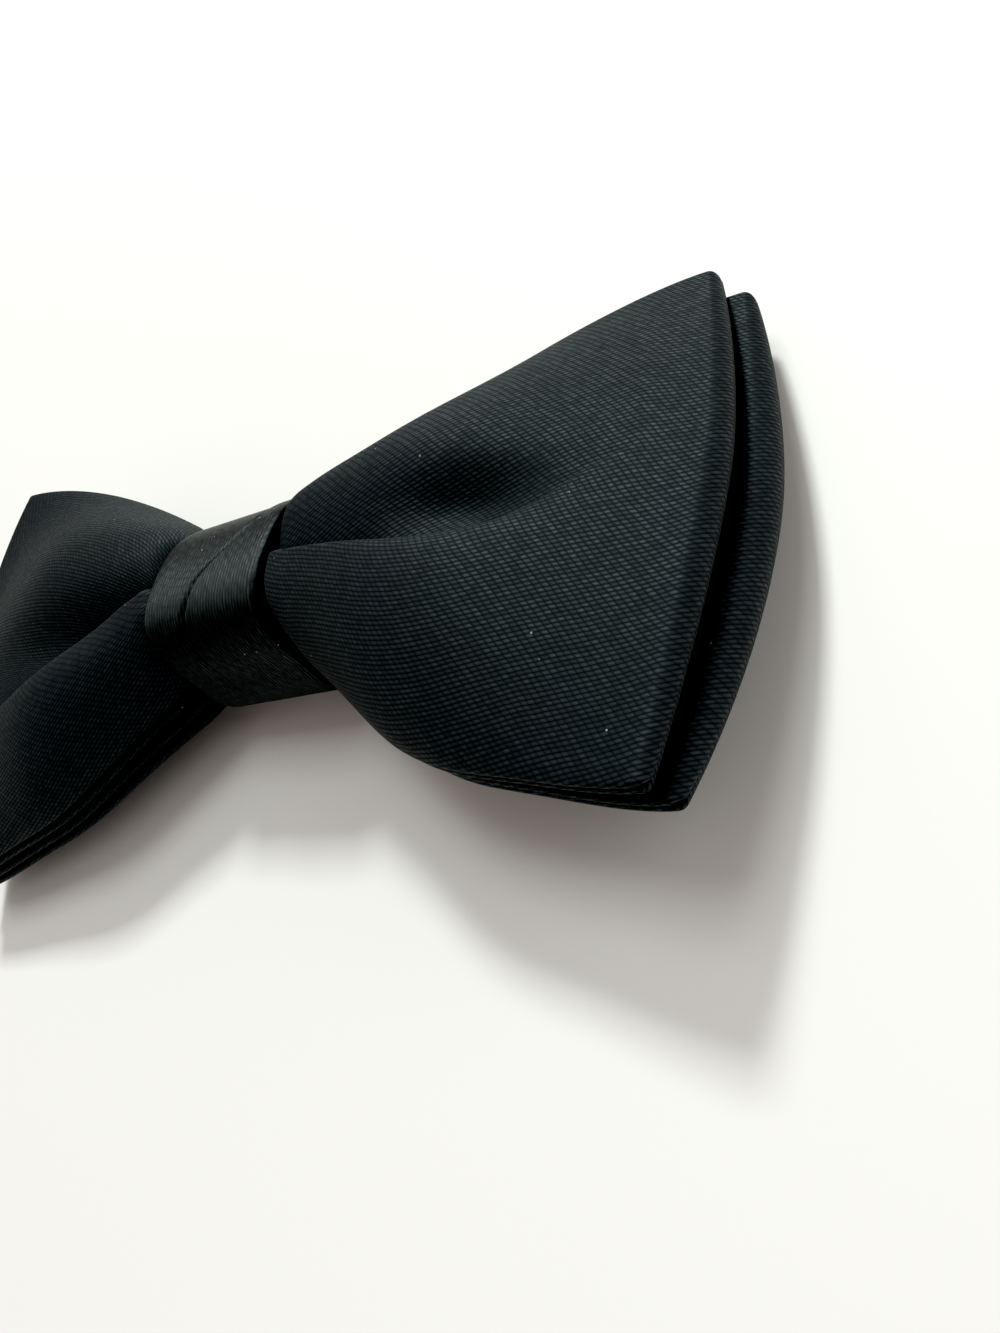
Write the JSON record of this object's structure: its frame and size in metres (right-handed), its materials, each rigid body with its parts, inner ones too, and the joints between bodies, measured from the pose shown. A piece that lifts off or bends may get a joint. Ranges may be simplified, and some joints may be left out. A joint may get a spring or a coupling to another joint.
{
  "type": "pre-tied bow tie",
  "caption": "Pre-tied bow tie of dark satin twill: layered cloth loops pinched by a wrapped knot band, with a plain flat clip behind the knot.",
  "frame": {"origin": "on the surface that the bow lies on, under the middle of the knot", "axes": "+X along the bow towards the wearer's left wing, +Y up as it is worn, +Z out of the bow's front, away from the surface it lies on"},
  "size_m": [0.1279, 0.0615, 0.0233],
  "materials": {
    "bow_cloth": "black satin twill with a soft sheen",
    "knot_cloth": "smoother black satin, the same cloth turned",
    "clip_metal": "plain satin steel sheet"
  },
  "bodies": {
    "root": {"front_bow": "bow_cloth", "rear_bow": "bow_cloth", "knot_band": "knot_cloth", "clip": "clip_metal"}
  },
  "joints": []
}
